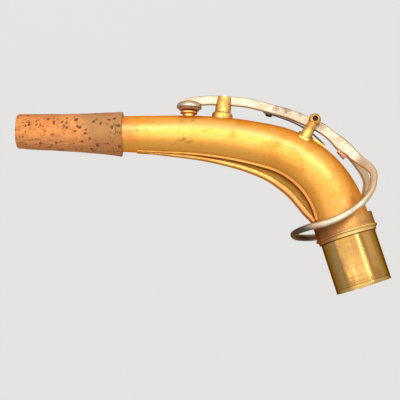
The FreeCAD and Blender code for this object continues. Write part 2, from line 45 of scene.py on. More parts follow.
# the neck's centre line: a straight throat, a tight bend, a gentle bend and a straight mouth
neckLine = {
    "throat": 12.8, "tightRadius": 41.5, "tightTurn": math.radians(58.3),
    "gentleRadius": 180.0, "gentleTurn": math.radians(13.2), "mouthRun": 71.2,
    "skinAtSeat": 11.95, "skinAtMouth": 6.4, "wall": 0.75,
}
tightStart = neckLine["throat"]
gentleStart = tightStart + neckLine["tightRadius"] * neckLine["tightTurn"]
mouthStart = gentleStart + neckLine["gentleRadius"] * neckLine["gentleTurn"]
neckLength = mouthStart + neckLine["mouthRun"]

# how far along the neck the pieces on its back stand
stations = {"pip": 92.7, "guide": 78.6, "hinge": 44.4, "ringRoot": 29.0}


def outward(turn):
    return Vector((math.cos(turn), 0, math.sin(turn)))


def along(turn):
    return Vector((-math.sin(turn), 0, math.cos(turn)))


def centreAt(station):
    # centre point and turn at a distance along the neck
    point, turn = Vector((0, 0, min(station, tightStart))), 0.0
    for start, end, radius in ((tightStart, gentleStart, neckLine["tightRadius"]),
                               (gentleStart, mouthStart, neckLine["gentleRadius"])):
        if station > start:
            run = min(station, end) - start
            centre = point - outward(turn) * radius
            turn += run / radius
            point = centre + outward(turn) * radius
    if station > mouthStart:
        point = point + along(turn) * (station - mouthStart)
    return point, turn


def turnBeside(point):
    # turn of the centre line beside a point
    angle = math.atan2(point.z - neckLine["throat"], point.x + neckLine["tightRadius"])
    return min(max(angle, 0.0), neckLine["tightTurn"] + neckLine["gentleTurn"])


def skinRadius(station):
    taper = neckLine["skinAtMouth"] - neckLine["skinAtSeat"]
    return neckLine["skinAtSeat"] + taper * station / neckLength


def axesMatrix(x, y, z, point):
    turned = Matrix((x, y, z)).transposed().to_4x4()
    return Matrix.Translation(point) @ turned


def neckMatrix(station, point):
    # X outward, Y across and Z along the neck
    turn = centreAt(station)[1]
    return axesMatrix(outward(turn), Vector((0, 1, 0)), along(turn), point)


def overSkin(station, rise, side=0.0):
    point, turn = centreAt(station)
    return point + outward(turn) * (skinRadius(station) + rise) + Vector((0, side, 0))


def acrossMatrix(station, radius):
    # a round section across the tube
    return neckMatrix(station, centreAt(station)[0]) @ Matrix.Scale(radius, 4)


def clamped(value):
    return min(max(value, 0.0), 1.0)


def blended(table, share):
    # smooth value between the rows of a table of (share, value) pairs
    last = len(table) - 1
    index = 0
    while index < last - 1 and share > table[index + 1][0]:
        index += 1

    def slope(i):
        low, high = max(i - 1, 0), min(i + 1, last)
        return (table[high][1] - table[low][1]) / (table[high][0] - table[low][0])

    (s0, v0), (s1, v1) = table[index], table[index + 1]
    gap = s1 - s0
    t = clamped((share - s0) / gap)
    return ((2 * t ** 3 - 3 * t ** 2 + 1) * v0 + (t ** 3 - 2 * t ** 2 + t) * gap * slope(index)
            + (-2 * t ** 3 + 3 * t ** 2) * v1 + (t ** 3 - t ** 2) * gap * slope(index + 1))


# mesh helpers
def lathe(profile, segments):
    # a turned piece round Z from a closed loop of (radius, height) points
    bm = bmesh.new()
    verts = [bm.verts.new((radius, 0, height)) for radius, height in profile]
    edges = [bm.edges.new(pair) for pair in zip(verts, verts[1:] + verts[:1])]
    bmesh.ops.spin(bm, geom=verts + edges, cent=(0, 0, 0), axis=(0, 0, 1), angle=2 * math.pi,
                   steps=segments, use_merge=True, use_duplicate=False)
    bmesh.ops.remove_doubles(bm, verts=bm.verts, dist=weldDistance)
    bmesh.ops.recalc_face_normals(bm, faces=bm.faces)
    return bm


def sharpEdges(bm, angle):
    # edges between two faces that turn by more than an angle in degrees
    return [edge for edge in bm.edges
            if len(edge.link_faces) == 2 and edge.calc_face_angle() > math.radians(angle)]


def roundEdges(bm, edges, width, segments):
    bmesh.ops.bevel(bm, geom=edges, offset=width, offset_type="OFFSET", segments=segments, profile=0.5,
                    affect="EDGES", material=-1, clamp_overlap=True)


def place(bm, matrix):
    bmesh.ops.transform(bm, matrix=matrix, verts=bm.verts)
    return bm


def sweep(bm, edges, matrices):
    # carries a loop of edges through the places, and gives back the last loop
    last = matrices[0]
    for matrix in matrices[1:]:
        grown = bmesh.ops.extrude_edge_only(bm, edges=edges)["geom"]
        fresh = {item for item in grown if isinstance(item, bmesh.types.BMVert)}
        edges = [item for item in grown
                 if isinstance(item, bmesh.types.BMEdge) and all(vert in fresh for vert in item.verts)]
        bmesh.ops.transform(bm, matrix=matrix @ last.inverted(), verts=list(fresh))
        last = matrix
    return edges


def roundedLoop(bm, corner, segments):
    # the outline of a unit square with rounded corners
    grid = bmesh.ops.create_grid(bm, x_segments=1, y_segments=1, size=0.5)["verts"]
    bmesh.ops.bevel(bm, geom=grid, offset=corner, offset_type="OFFSET", segments=segments, profile=0.5,
                    affect="VERTICES", material=-1)
    bmesh.ops.delete(bm, geom=list(bm.faces), context="FACES_ONLY")
    return list(bm.edges)


def circleLoop(bm, segments):
    bmesh.ops.create_circle(bm, cap_ends=False, radius=1.0, segments=segments)
    return list(bm.edges)


def squared(value, power):
    # brings a point of a circle nearer to the square round it
    return math.copysign(abs(value) ** (2 / power), value)


def crownedLoop(bm, power, segments):
    # a unit square with soft corners and slightly crowned sides
    edges = circleLoop(bm, segments)
    for vert in bm.verts:
        for axis in (0, 1):
            vert.co[axis] = squared(vert.co[axis], power) / 2
    return edges


def sweptPiece(loopMaker, matrices):
    bm = bmesh.new()
    edges = loopMaker(bm)
    place(bm, matrices[0])
    first = list(edges)
    last = sweep(bm, edges, matrices)
    bmesh.ops.edgeloop_fill(bm, edges=first)
    bmesh.ops.edgeloop_fill(bm, edges=last)
    bmesh.ops.recalc_face_normals(bm, faces=bm.faces)
    return bm


def sweptShell(segments, matrices):
    # a hollow piece: round sections out along the skin and back through the bore
    bm = bmesh.new()
    edges = circleLoop(bm, segments)
    place(bm, matrices[0])
    sweep(bm, edges, matrices)
    bmesh.ops.bridge_loops(bm, edges=[edge for edge in bm.edges if edge.is_boundary])
    bmesh.ops.recalc_face_normals(bm, faces=bm.faces)
    bm.normal_update()
    return bm


def joined(*parts):
    whole = parts[0]
    for part in parts[1:]:
        spare = bpy.data.meshes.new("spare")
        part.to_mesh(spare)
        part.free()
        whole.from_mesh(spare)
        bpy.data.meshes.remove(spare)
    return whole


def wobble(bm, amount, size):
    # hand-made unevenness, so that reflections aren't perfect
    bm.normal_update()
    for vert in bm.verts:
        vert.co += vert.normal * (amount * noise.noise(vert.co / size))


def finishPiece(name, bm, material, body, nodes, angle=smoothAngle):
    for face in bm.faces:
        face.smooth = True
    for edge in sharpEdges(bm, angle):
        edge.smooth = False
    bmesh.ops.scale(bm, vec=(mm, mm, mm), verts=bm.verts)
    mesh = bpy.data.meshes.new(name)
    bm.to_mesh(mesh)
    bm.free()
    mesh.materials.append(material)
    piece = bpy.data.objects.new(name, mesh)
    bpy.context.collection.objects.link(piece)
    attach(piece, body)
    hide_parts(*nodes)
    return piece


def carryOver(node, material, body):
    # a merged and smoothed copy of a CAD node's mesh stands for it
    bm = bmesh.new()
    bm.from_mesh(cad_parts[node].data)
    bmesh.ops.scale(bm, vec=(1 / mm, 1 / mm, 1 / mm), verts=bm.verts)
    bmesh.ops.remove_doubles(bm, verts=bm.verts, dist=cadWeldDistance)
    return finishPiece(node + "Dressed", bm, material, body, (node,))


# shader helpers and groups; a noise is (detail, roughness), and a mask comes in from low to high
wearAndShade = {"patchNoise": (5.0, 0.62), "patchBend": 0.6, "patchMask": (0.42, 0.68),
        "spotNoise": (3.0, 0.7), "spotMask": (0.60, 0.74), "spotRoughness": 0.15,
        "hairTurns": ((0.3, 0.35, 0.2), (0.3, -0.9, 0.2)), "hairNoise": (2.0, 0.5),
        "hairMask": (0.63, 0.72), "hairAmount": 0.3, "hairRoughness": 0.12, "hairDepth": 0.00005,
        "streakNoise": (4.0, 0.65), "streakMask": (0.48, 0.66), "underMask": (0.0, 0.9),
        "edgeShadeFrom": 0.45, "edgeShadeTo": 0.9, "coatRoughness": 0.12,
        "markSize": 1200.0, "markNoise": (4.0, 0.65), "markRag": 2.2, "markMask": (1.95, 1.25),
        "grimeAndShade": (0.34, 0.15, 0.05), "grimeAndShadeAmount": 0.75}


def newGroup(name, inputs, outputs):
    group = bpy.data.node_groups.new(name, "ShaderNodeTree")
    for label, kind in inputs:
        group.interface.new_socket(label, in_out="INPUT", socket_type="NodeSocket" + kind)
    for label, kind in outputs:
        group.interface.new_socket(label, in_out="OUTPUT", socket_type="NodeSocket" + kind)
    return group, group.nodes.new("NodeGroupInput"), group.nodes.new("NodeGroupOutput")


def addNode(tree, kind, links=(), **settings):
    # a node with its settings, its constants and its incoming links
    node = tree.nodes.new("ShaderNode" + kind)
    for key, value in settings.items():
        setattr(node, key, value)
    for socket, source in links:
        if isinstance(source, bpy.types.NodeSocket):
            tree.links.new(source, node.inputs[socket])
        else:
            node.inputs[socket].default_value = source
    return node


def ramp(tree, factor, low, high):
    # eases from 0 at low to 1 at high
    return addNode(tree, "MapRange", [("Value", factor), ("From Min", low), ("From Max", high)],
                   interpolation_type="SMOOTHSTEP").outputs["Result"]


def math2(tree, operation, a, b):
    return addNode(tree, "Math", [(0, a), (1, b)], operation=operation).outputs[0]


def vector2(tree, operation, a, b):
    return addNode(tree, "VectorMath", [(0, a), (1, b)], operation=operation).outputs[0]


def noiseAt(tree, vector, scale, detail, roughness=0.5):
    return addNode(tree, "TexNoise", [("Vector", vector), ("Scale", scale), ("Detail", detail),
                                      ("Roughness", roughness)])


def mixColour(tree, factor, a, b):
    node = addNode(tree, "Mix", data_type="RGBA")
    for socket, source in ((0, factor), (6, a), (7, b)):
        if isinstance(source, bpy.types.NodeSocket):
            tree.links.new(source, node.inputs[socket])
        else:
            node.inputs[socket].default_value = source if socket == 0 else (*source, 1.0)
    return node.outputs[2]


def tinted(tree, colour, mask, amount, tint):
    # lays a tint over a colour where a mask says so
    return mixColour(tree, math2(tree, "MULTIPLY", mask, amount), colour, tint)


def grazingShadeMask(tree, low, high):
    # 1 where the surface turns away from the eye
    return ramp(tree, addNode(tree, "LayerWeight", [("Blend", 0.5)]).outputs["Facing"], low, high)


def bumpInto(tree, shader, height, strength, distance):
    bump = addNode(tree, "Bump", [("Height", height), ("Strength", strength), ("Distance", distance)])
    tree.links.new(bump.outputs[0], shader.inputs["Normal"])


def buildStainGroup():
    # soft patches and small spots of tarnish
    group, start, end = newGroup("tarnishPatches",
                                 (("Vector", "Vector"), ("Patch Size", "Float"), ("Spot Size", "Float")),
                                 (("Patches", "Float"), ("Spots", "Float")))
    patches = noiseAt(group, start.outputs["Vector"], start.outputs["Patch Size"], *wearAndShade["patchNoise"])
    patches.inputs["Distortion"].default_value = wearAndShade["patchBend"]
    spots = noiseAt(group, start.outputs["Vector"], start.outputs["Spot Size"], *wearAndShade["spotNoise"])
    group.links.new(ramp(group, patches.outputs["Fac"], *wearAndShade["patchMask"]), end.inputs["Patches"])
    group.links.new(ramp(group, spots.outputs["Fac"], *wearAndShade["spotMask"]), end.inputs["Spots"])
    return group


def buildScratchGroup():
    # fine hairlines in two directions, with a height for the bump
    group, start, end = newGroup("hairlines",
                                 (("Vector", "Vector"), ("Size", "Float"), ("Stretch", "Vector")),
                                 (("Mask", "Float"), ("Height", "Float")))
    squeezed = vector2(group, "MULTIPLY", start.outputs["Vector"], start.outputs["Stretch"])
    masks = []
    for turn in wearAndShade["hairTurns"]:
        turned = addNode(group, "Mapping", [("Vector", squeezed), ("Rotation", turn)])
        lines = noiseAt(group, turned.outputs[0], start.outputs["Size"], *wearAndShade["hairNoise"])
        masks.append(ramp(group, lines.outputs["Fac"], *wearAndShade["hairMask"]))
    both = math2(group, "MAXIMUM", *masks)
    group.links.new(both, end.inputs["Mask"])
    group.links.new(math2(group, "MULTIPLY", both, -1.0), end.inputs["Height"])
    return group


stainGroup = buildStainGroup()
scratchGroup = buildScratchGroup()


def placeGroup(tree, group, vector, values):
    node = tree.nodes.new("ShaderNodeGroup")
    node.node_tree = group
    tree.links.new(vector, node.inputs["Vector"])
    for label, value in values.items():
        node.inputs[label].default_value = value
    return node.outputs


def newMaterial(name):
    material = bpy.data.materials.new(name)
    material.use_nodes = True
    tree = material.node_tree
    tree.nodes.clear()
    output = addNode(tree, "OutputMaterial")
    shader = addNode(tree, "BsdfPrincipled")
    tree.links.new(shader.outputs[0], output.inputs[0])
    return material, tree, shader, addNode(tree, "TexCoord").outputs["Object"]


def drawnStreaks(tree, spot, colour, size, stretch, tint, amount):
    # long soft bands, drawn out along the direction with the small stretch
    bands = noiseAt(tree, vector2(tree, "MULTIPLY", spot, stretch), size, *wearAndShade["streakNoise"])
    return tinted(tree, colour, ramp(tree, bands.outputs["Fac"], *wearAndShade["streakMask"]), amount, tint)


def shadeBand(tree, spot, colour, direction, low, high, tint, amount):
    # a colour that comes in along one direction of the piece
    reach = addNode(tree, "VectorMath", [(0, spot), (1, direction)], operation="DOT_PRODUCT")
    return tinted(tree, colour, ramp(tree, reach.outputs["Value"], low, high), amount, tint)


def markSpot(tree, spot, colour, centre, radius, tint, amount, squeeze=(1, 1, 1)):
    # a stain of its own at one place, with a ragged edge; the marks at the posts' feet are also painted
    # shade
    offset = vector2(tree, "MULTIPLY", vector2(tree, "SUBTRACT", spot, centre), squeeze)
    away = addNode(tree, "VectorMath", [(0, offset)], operation="LENGTH").outputs["Value"]
    ragged = noiseAt(tree, spot, wearAndShade["markSize"], *wearAndShade["markNoise"]).outputs["Fac"]
    edge = math2(tree, "ADD", math2(tree, "DIVIDE", away, radius),
                 math2(tree, "MULTIPLY", ragged, wearAndShade["markRag"]))
    return tinted(tree, colour, ramp(tree, edge, *wearAndShade["markMask"]), amount, tint)


def footMark(station, radius):
    # grime and painted shade round the foot of a post
    return tuple(overSkin(station, 0) * mm), radius, wearAndShade["grimeAndShade"], wearAndShade["grimeAndShadeAmount"]


def metalMaterial(name, look):
    # one recipe for every metal: colours, stains, hairlines, painted shade, painted highlights and a bump,
    # with its own values
    material, tree, shader, spot = newMaterial(name)
    stains = placeGroup(tree, stainGroup, spot, {"Patch Size": look["patchSize"],
                                                 "Spot Size": look["spotSize"]})
    lines = placeGroup(tree, scratchGroup, spot, {"Size": look["lineSize"], "Stretch": look["lineStretch"]})
    colour = tinted(tree, look["colour"], stains["Patches"], look["patchAmount"], look["patchColour"])
    colour = tinted(tree, colour, stains["Spots"], look["spotAmount"], look["spotColour"])
    colour = tinted(tree, colour, lines["Mask"], wearAndShade["hairAmount"], look["patchColour"])
    if "streaks" in look:
        colour = drawnStreaks(tree, spot, colour, *look["streaks"])
    for shade in look.get("shades", ()):
        colour = shadeBand(tree, spot, colour, *shade)
    for mark in look.get("marks", ()):
        colour = markSpot(tree, spot, colour, *mark)
    # painted shade: a darker tint on the inner side of the bend and in the brace's web
    if "under" in look:
        under = addNode(tree, "Attribute", attribute_name="under").outputs["Fac"]
        colour = tinted(tree, colour, ramp(tree, under, *wearAndShade["underMask"]), look["underAmount"],
                        look["under"])
    # painted highlight: a paler line where the lamps' highlight falls along the tube
    if "paintedHighlight" in look:
        paintedHighlight = addNode(tree, "Attribute", attribute_name="paintedHighlight").outputs["Fac"]
        colour = tinted(tree, colour, paintedHighlight, look["paintedHighlightAmount"], look["paintedHighlight"])
    # painted dark reflection: the base colour is tinted towards the grazing edges
    rim = grazingShadeMask(tree, look.get("edgeShadeFrom", wearAndShade["edgeShadeFrom"]), wearAndShade["edgeShadeTo"])
    tree.links.new(tinted(tree, colour, rim, look["edgeShadeAmount"], look["edge"]), shader.inputs["Base Color"])
    shader.inputs["Specular Tint"].default_value = (*look["edge"], 1)
    rough = look["roughness"]
    for mask, share in ((stains["Patches"], look["patchRoughness"]), (lines["Mask"], wearAndShade["hairRoughness"]),
                        (stains["Spots"], wearAndShade["spotRoughness"])):
        rough = math2(tree, "ADD", rough, math2(tree, "MULTIPLY", mask, share))
    tree.links.new(rough, shader.inputs["Roughness"])
    shader.inputs["Metallic"].default_value = 1.0
    shader.inputs["Coat Weight"].default_value = look.get("coat", 0.0)
    shader.inputs["Coat Roughness"].default_value = wearAndShade["coatRoughness"]
    bumpInto(tree, shader, lines["Height"], look["bump"], wearAndShade["hairDepth"])
    return material


# the metals, in metres: a shade is (direction, from, to, tint, amount), and a mark is (centre, radius,
# tint, amount, squeeze); the darker tint on the inner side of the bend and in the brace's web is
# painted shade, and the pale line along the tube's near side is a painted highlight
lacquerBrass = metalMaterial("lacquerBrass", {
    "colour": (0.90, 0.46, 0.098), "patchColour": (0.77, 0.30, 0.04), "spotColour": (0.36, 0.15, 0.035),
    "patchSize": 80.0, "spotSize": 330.0, "patchAmount": 0.9, "spotAmount": 0.3,
    "lineSize": 700.0, "lineStretch": (0.08, 1.0, 1.0), "edge": (0.76, 0.265, 0.008), "edgeShadeAmount": 0.9,
    "edgeShadeFrom": 0.22, "roughness": 0.50, "patchRoughness": 0.08, "coat": 0.03, "bump": 0.2,
    # painted shade on the inner side of the bend, and a painted highlight line along the near side
    "under": (0.70, 0.34, 0.06), "underAmount": 0.8, "paintedHighlight": (0.92, 0.56, 0.20), "paintedHighlightAmount": 0.64,
    # painted shade: darker and more orange on the lower part of the bend towards the collar
    "shades": (((0.0, 0.0, -1.0), -0.046, -0.014, (0.70, 0.29, 0.052), 0.7),),
    # grime and painted shade round the feet of the posts, then stains
    "marks": (footMark(stations["pip"], 0.0038), footMark(stations["guide"], 0.0055),
              footMark(stations["hinge"], 0.0070),
              ((-0.0784, -0.0080, 0.0735), 0.0066, (0.80, 0.24, 0.10), 0.85, (1.7, 0.5, 0.7)),
              ((-0.0568, -0.0080, 0.0618), 0.0020, (0.30, 0.14, 0.03), 0.75, (0.5, 0.5, 1.9)),
              ((-0.0543, -0.0080, 0.0600), 0.0018, (0.30, 0.14, 0.03), 0.7, (0.5, 0.5, 1.7)),
              ((-0.0616, -0.0071, 0.0610), 0.0015, (0.34, 0.16, 0.04), 0.5, (0.6, 0.6, 1.6)),
              ((-0.0550, -0.0068, 0.0692), 0.0022, (0.26, 0.12, 0.04), 0.7),
              ((-0.0500, -0.0068, 0.0684), 0.0014, (0.26, 0.12, 0.04), 0.6),
              ((-0.0281, -0.0028, 0.0634), 0.0016, (0.24, 0.09, 0.03), 0.7),
              ((0.0012, -0.0114, 0.0140), 0.0030, (0.48, 0.42, 0.22), 0.7),
              ((0.0057, -0.0099, 0.0140), 0.0040, (0.46, 0.15, 0.05), 0.6),
              ((-0.0105, -0.0105, 0.0378), 0.0012, (0.40, 0.19, 0.06), 0.5),
              ((-0.0050, -0.0105, 0.0120), 0.0170, (0.72, 0.30, 0.07), 0.75))})
postBrass = metalMaterial("postBrass", {
    "colour": (0.82, 0.46, 0.125), "patchColour": (0.44, 0.20, 0.055), "spotColour": (0.28, 0.12, 0.04),
    "patchSize": 300.0, "spotSize": 900.0, "patchAmount": 0.75, "spotAmount": 0.6,
    "lineSize": 1400.0, "lineStretch": (0.3, 0.3, 1.0), "edge": (0.50, 0.22, 0.04), "edgeShadeAmount": 0.8,
    "edgeShadeFrom": 0.3, "roughness": 0.38, "patchRoughness": 0.14, "bump": 0.35})
braceBrass = metalMaterial("braceBrass", {
    "colour": (0.80, 0.44, 0.115), "patchColour": (0.62, 0.28, 0.07), "spotColour": (0.38, 0.16, 0.04),
    "patchSize": 90.0, "spotSize": 400.0, "patchAmount": 0.8, "spotAmount": 0.3,
    "lineSize": 700.0, "lineStretch": (0.08, 1.0, 1.0), "edge": (0.62, 0.26, 0.04), "edgeShadeAmount": 0.7,
    "roughness": 0.44, "patchRoughness": 0.08, "bump": 0.2,
    # painted shade in the web under the rail, less on the foot
    "under": (0.24, 0.115, 0.02), "underAmount": 0.95,
    "shades": (((0.0, 0.0, -1.0), -0.046, -0.016, (0.60, 0.255, 0.085), 0.9),)})
tenonBrass = metalMaterial("tenonBrass", {
    "colour": (0.45, 0.245, 0.060), "patchColour": (0.38, 0.18, 0.072), "spotColour": (0.30, 0.14, 0.04),
    "patchSize": 110.0, "spotSize": 520.0, "patchAmount": 0.85, "spotAmount": 0.3,
    "lineSize": 1100.0, "lineStretch": (0.05, 0.05, 1.0), "edge": (0.34, 0.185, 0.045), "edgeShadeAmount": 0.75,
    "streaks": (300.0, (1.0, 1.0, 0.05), (0.56, 0.37, 0.135), 0.5),
    "roughness": 0.16, "patchRoughness": 0.10, "bump": 0.35,
    # a painted shadow line and a painted lit band at the foot of the tenon, standing in for a small step
    "shades": (((0.0, 0.0, -1.0), 0.0203, 0.0206, (0.20, 0.10, 0.03), 0.75),
               ((0.0, 0.0, -1.0), 0.0207, 0.0210, (0.62, 0.38, 0.11), 0.95),
               # painted dark reflection: darker towards the tenon's left side
               ((-1.0, 0.0, 0.0), 0.0058, 0.0125, (0.27, 0.15, 0.05), 0.8))})
collarBrass = metalMaterial("collarBrass", {
    "colour": (0.60, 0.305, 0.085), "patchColour": (0.39, 0.155, 0.05), "spotColour": (0.22, 0.08, 0.03),
    "patchSize": 60.0, "spotSize": 480.0, "patchAmount": 0.6, "spotAmount": 0.3,
    "lineSize": 800.0, "lineStretch": (0.06, 0.06, 1.0), "edge": (0.40, 0.17, 0.05), "edgeShadeAmount": 0.8,
    "roughness": 0.38, "patchRoughness": 0.12, "bump": 0.3,
    # painted highlight: the bead and the lip below it tinted bright gold
    "shades": (((0.0, 0.0, -1.0), -0.0034, -0.0027, (0.94, 0.62, 0.22), 0.7),
               # painted shade: darker and redder towards the collar's left side
               ((-1.0, 0.0, 0.0), -0.003, 0.0110, (0.26, 0.09, 0.035), 0.85))})
nickelSilver = metalMaterial("nickelSilver", {
    "colour": (0.585, 0.48, 0.35), "patchColour": (0.47, 0.32, 0.20), "spotColour": (0.24, 0.13, 0.08),
    "patchSize": 130.0, "spotSize": 600.0, "patchAmount": 0.85, "spotAmount": 0.4,
    "lineSize": 900.0, "lineStretch": (0.1, 1.0, 1.0), "edge": (0.42, 0.30, 0.20), "edgeShadeAmount": 0.5,
    "roughness": 0.40, "patchRoughness": 0.10, "bump": 0.25,
    "marks": (((-0.0082, -0.0012, 0.0625), 0.0040, (0.13, 0.065, 0.045), 0.75),
              ((-0.0125, -0.0012, 0.0645), 0.0030, (0.15, 0.08, 0.055), 0.65),
              ((-0.0032, -0.0012, 0.0590), 0.0028, (0.13, 0.065, 0.045), 0.65),
              ((0.0042, -0.0015, 0.0525), 0.0056, (0.22, 0.12, 0.08), 0.8)),
    # painted reflection: a warm brass tint towards the ring's right side and the fork
    "shades": (((1.0, 0.0, -0.3), 0.002, 0.010, (0.76, 0.52, 0.28), 0.8),
               # painted shade: the left tip of the ring darkened almost to black
               ((-1.0, 0.0, -1.0), 0.004, 0.011, (0.06, 0.045, 0.03), 0.92))})
darkSteel = metalMaterial("darkSteel", {
    "colour": (0.040, 0.032, 0.026), "patchColour": (0.06, 0.035, 0.02), "spotColour": (0.03, 0.018, 0.012),
    "patchSize": 200.0, "spotSize": 900.0, "patchAmount": 0.6, "spotAmount": 0.5,
    "lineSize": 1500.0, "lineStretch": (0.1, 1.0, 1.0), "edge": (0.05, 0.035, 0.025), "edgeShadeAmount": 0.5,
    "roughness": 0.42, "patchRoughness": 0.15, "bump": 0.3})
springSteel = metalMaterial("springSteel", {
    "colour": (0.20, 0.14, 0.09), "patchColour": (0.13, 0.08, 0.05), "spotColour": (0.08, 0.045, 0.03),
    "patchSize": 150.0, "spotSize": 700.0, "patchAmount": 0.45, "spotAmount": 0.3,
    "lineSize": 1200.0, "lineStretch": (0.06, 1.0, 1.0), "edge": (0.14, 0.09, 0.06), "edgeShadeAmount": 0.6,
    "roughness": 0.34, "patchRoughness": 0.1, "bump": 0.25})

# what the two corks share; their pits are (size, and from where to where they gather)
corkWearAndShade = {"grainNoise": (8.0, 0.68), "grainMask": (0.44, 0.64), "grainAmount": 0.6,
            "drift": (0.0022, 0.0022, 0.0022), "pitRim": 0.34, "pitFloor": 0.20, "pitAmount": 0.92,
            "rareShare": 0.25, "rareDetail": 3.0, "wideScale": 40.0, "wideDetail": 4.0,
            "wideMask": (0.35, 0.65), "wornNoise": (6.0, 0.7), "wornMask": (0.52, 0.72), "wornAmount": 0.7,
            "edgeShadeMask": (0.35, 0.95), "roughness": 0.82, "specular": 0.2, "bump": 0.7, "depth": 0.0002}


def corkMaterial(name, look):
    # grained cork with dark pits, handled patches and painted shade at its grazing edges
    material, tree, shader, spot = newMaterial(name)
    grain = noiseAt(tree, spot, look["grain"], *corkWearAndShade["grainNoise"])
    bent = vector2(tree, "ADD", spot, vector2(tree, "MULTIPLY", grain.outputs["Color"], corkWearAndShade["drift"]))
    pit = 0.0
    for size, low, high in look["pits"]:
        cells = addNode(tree, "TexVoronoi", [("Vector", bent), ("Scale", size)])
        hollow = addNode(tree, "MapRange", [("Value", cells.outputs["Distance"]),
                                            ("From Min", corkWearAndShade["pitRim"]),
                                            ("From Max", corkWearAndShade["pitFloor"])])
        rare = noiseAt(tree, spot, size * corkWearAndShade["rareShare"], corkWearAndShade["rareDetail"])
        kept = math2(tree, "MULTIPLY", hollow.outputs["Result"], ramp(tree, rare.outputs["Fac"], low, high))
        pit = math2(tree, "MAXIMUM", pit, kept)
    wide = noiseAt(tree, spot, corkWearAndShade["wideScale"], corkWearAndShade["wideDetail"])
    colour = mixColour(tree, ramp(tree, wide.outputs["Fac"], *corkWearAndShade["wideMask"]), look["light"],
                       look["warm"])
    colour = tinted(tree, colour, ramp(tree, grain.outputs["Fac"], *corkWearAndShade["grainMask"]),
                    corkWearAndShade["grainAmount"], look["dark"])
    for shade in look.get("shades", ()):
        colour = shadeBand(tree, spot, colour, *shade)
    worn = noiseAt(tree, spot, look["wornSize"], *corkWearAndShade["wornNoise"])
    colour = tinted(tree, colour, ramp(tree, worn.outputs["Fac"], *corkWearAndShade["wornMask"]),
                    corkWearAndShade["wornAmount"], look["worn"])
    colour = tinted(tree, colour, pit, corkWearAndShade["pitAmount"], look["pit"])
    # painted shade: darker towards the grazing edges
    rim = grazingShadeMask(tree, *corkWearAndShade["edgeShadeMask"])
    tree.links.new(tinted(tree, colour, rim, look["edge"], look["dark"]), shader.inputs["Base Color"])
    shader.inputs["Roughness"].default_value = corkWearAndShade["roughness"]
    shader.inputs["Specular IOR Level"].default_value = corkWearAndShade["specular"]
    height = math2(tree, "MULTIPLY", grain.outputs["Fac"], corkWearAndShade["grainAmount"])
    bumpInto(tree, shader, math2(tree, "SUBTRACT", height, pit), corkWearAndShade["bump"], corkWearAndShade["depth"])
    return material


sleeveCork = corkMaterial("sleeveCork", {
    "light": (0.80, 0.32, 0.095), "warm": (0.68, 0.235, 0.06), "dark": (0.42, 0.16, 0.055),
    "pit": (0.13, 0.042, 0.016), "grain": 420.0, "pits": ((380.0, 0.46, 0.53), (760.0, 0.50, 0.57)),
    "worn": (0.44, 0.15, 0.06), "wornSize": 130.0,
    "shades": (((1.0, 0.0, 0.0), -0.0995, -0.0935, (0.43, 0.22, 0.080), 0.85),
               # painted shade: darker towards the sleeve's underside
               ((-0.28, 0.0, -0.96), -0.0482, -0.0415, (0.36, 0.135, 0.042), 0.75)), "edge": 0.5})
bumperCork = corkMaterial("bumperCork", {
    "light": (0.72, 0.40, 0.20), "warm": (0.58, 0.28, 0.13), "dark": (0.34, 0.15, 0.07),
    "pit": (0.12, 0.05, 0.03), "grain": 900.0, "pits": ((1400.0, 0.46, 0.54),),
    "worn": (0.34, 0.14, 0.07), "wornSize": 400.0, "edge": 0.3})

padWear = {"noise": (6.0, 0.6), "mask": (0.35, 0.7), "depth": 0.0001}


def softMaterial(name, colour, deep, roughness, grain, bumpStrength):
    # one plain grained colour with a deeper one, for the layers of the pad
    material, tree, shader, spot = newMaterial(name)
    body = noiseAt(tree, spot, grain, *padWear["noise"]).outputs["Fac"]
    tree.links.new(mixColour(tree, ramp(tree, body, *padWear["mask"]), colour, deep),
                   shader.inputs["Base Color"])
    shader.inputs["Roughness"].default_value = roughness
    bumpInto(tree, shader, body, bumpStrength, padWear["depth"])
    return material


padLeather = softMaterial("padLeather", (0.36, 0.15, 0.07), (0.18, 0.07, 0.03), 0.5, 1200.0, 0.5)
padFelt = softMaterial("padFelt", (0.72, 0.68, 0.58), (0.52, 0.47, 0.38), 0.95, 2600.0, 0.8)
padBoard = softMaterial("padBoard", (0.56, 0.46, 0.32), (0.42, 0.32, 0.20), 0.85, 1500.0, 0.3)
padGlue = softMaterial("padGlue", (0.40, 0.22, 0.08), (0.24, 0.12, 0.04), 0.3, 700.0, 0.3)
print("materials made")

# neck tube, one skin with its bore and its rolled mouth
tube = {"segments": 112, "step": 1.4, "start": 5.0, "lip": 0.2, "leastStep": 0.01, "underFrom": 0.05,
        "waviness": 0.05, "waveSize": 14.0, "paintedHighlightWidth": 0.16, "paintedHighlightFrom": 20.0, "paintedHighlightEase": 18.0,
        "paintedHighlightSide": 0.5, "paintedHighlightTurn": 2.0,
        "paintedHighlightPlaces": ((-90.0, 0.2), (-69.0, 0.2), (-47.0, 0.38), (-28.0, 0.33), (-5.0, 0.13),
                        (20.0, 0.13))}


